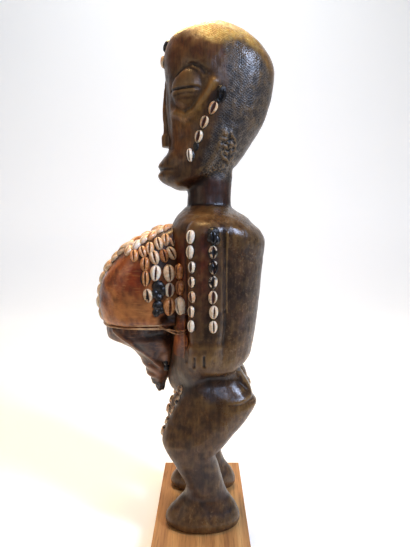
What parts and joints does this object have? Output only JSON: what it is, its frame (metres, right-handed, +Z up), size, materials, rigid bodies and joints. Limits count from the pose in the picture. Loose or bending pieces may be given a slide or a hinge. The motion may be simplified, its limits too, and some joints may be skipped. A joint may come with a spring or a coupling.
{
  "type": "carved power figure",
  "caption": "Standing carved wooden figure on a plain board, with a bulging leather charge on its belly and rows of cowrie shells.",
  "frame": {"origin": "middle of the plinth's underside", "axes": "+Z up, -Y towards what the figure faces, +X towards the figure's own left"},
  "size_m": [0.206, 0.231, 0.6755],
  "materials": {
    "carved_wood": "dark, oiled and handled, with a worn tan crown",
    "plinth_wood": "plain sanded board, reddish tan",
    "leather": "stiff orange-brown hide with a red stain",
    "dark_leather": "dark brown hardened hide with worn ridges",
    "cowrie_shell": "glossy cream shell, toned by smoke and oil",
    "resin": "black glossy plant resin"
  },
  "bodies": {
    "root": {"cowrie_arm_left_front_1": "cowrie_shell", "cowrie_arm_left_front_2": "cowrie_shell", "cowrie_arm_left_front_3": "cowrie_shell", "cowrie_arm_left_front_4": "cowrie_shell", "cowrie_arm_left_front_5": "cowrie_shell", "cowrie_arm_left_front_6": "cowrie_shell", "cowrie_arm_left_front_7": "cowrie_shell", "cowrie_arm_left_outer_1": "cowrie_shell", "cowrie_arm_left_outer_2": "cowrie_shell", "cowrie_arm_left_outer_3": "cowrie_shell", "cowrie_arm_left_outer_4": "cowrie_shell", "cowrie_arm_left_outer_5": "cowrie_shell", "cowrie_arm_left_outer_6": "cowrie_shell", "cowrie_arm_left_outer_7": "cowrie_shell", "cowrie_arm_right_front_1": "cowrie_shell", "cowrie_arm_right_front_2": "cowrie_shell", "cowrie_arm_right_front_3": "cowrie_shell", "cowrie_arm_right_front_4": "cowrie_shell", "cowrie_arm_right_front_5": "cowrie_shell", "cowrie_arm_right_front_6": "cowrie_shell", "cowrie_arm_right_front_7": "cowrie_shell", "cowrie_arm_right_outer_1": "cowrie_shell", "cowrie_arm_right_outer_2": "cowrie_shell", "cowrie_arm_right_outer_3": "cowrie_shell", "cowrie_arm_right_outer_4": "cowrie_shell", "cowrie_arm_right_outer_5": "cowrie_shell", "cowrie_arm_right_outer_6": "cowrie_shell", "cowrie_arm_right_outer_7": "cowrie_shell", "cowrie_cheek_left_1": "cowrie_shell", "cowrie_cheek_left_2": "cowrie_shell", "cowrie_cheek_left_3": "cowrie_shell", "cowrie_cheek_left_4": "cowrie_shell", "cowrie_cheek_left_5": "cowrie_shell", "cowrie_cheek_right_1": "cowrie_shell", "cowrie_cheek_right_2": "cowrie_shell", "cowrie_cheek_right_3": "cowrie_shell", "cowrie_cheek_right_4": "cowrie_shell", "cowrie_cheek_right_5": "cowrie_shell", "cowrie_forehead_1": "cowrie_shell", "cowrie_forehead_2": "cowrie_shell", "cowrie_thigh_left_1": "cowrie_shell", "cowrie_thigh_left_2": "cowrie_shell", "cowrie_thigh_left_3": "cowrie_shell", "cowrie_thigh_left_4": "cowrie_shell", "cowrie_thigh_left_5": "cowrie_shell", "cowrie_thigh_right_1": "cowrie_shell", "cowrie_thigh_right_2": "cowrie_shell", "cowrie_thigh_right_3": "cowrie_shell", "cowrie_thigh_right_4": "cowrie_shell", "cowrie_thigh_right_5": "cowrie_shell", "figure": "carved_wood", "leather_flap": "dark_leather", "leather_pouch": "leather", "plinth": "plinth_wood", "side_strap_left": "leather", "side_strap_right": "leather", "tie_thong": "dark_leather"}
  },
  "joints": []
}
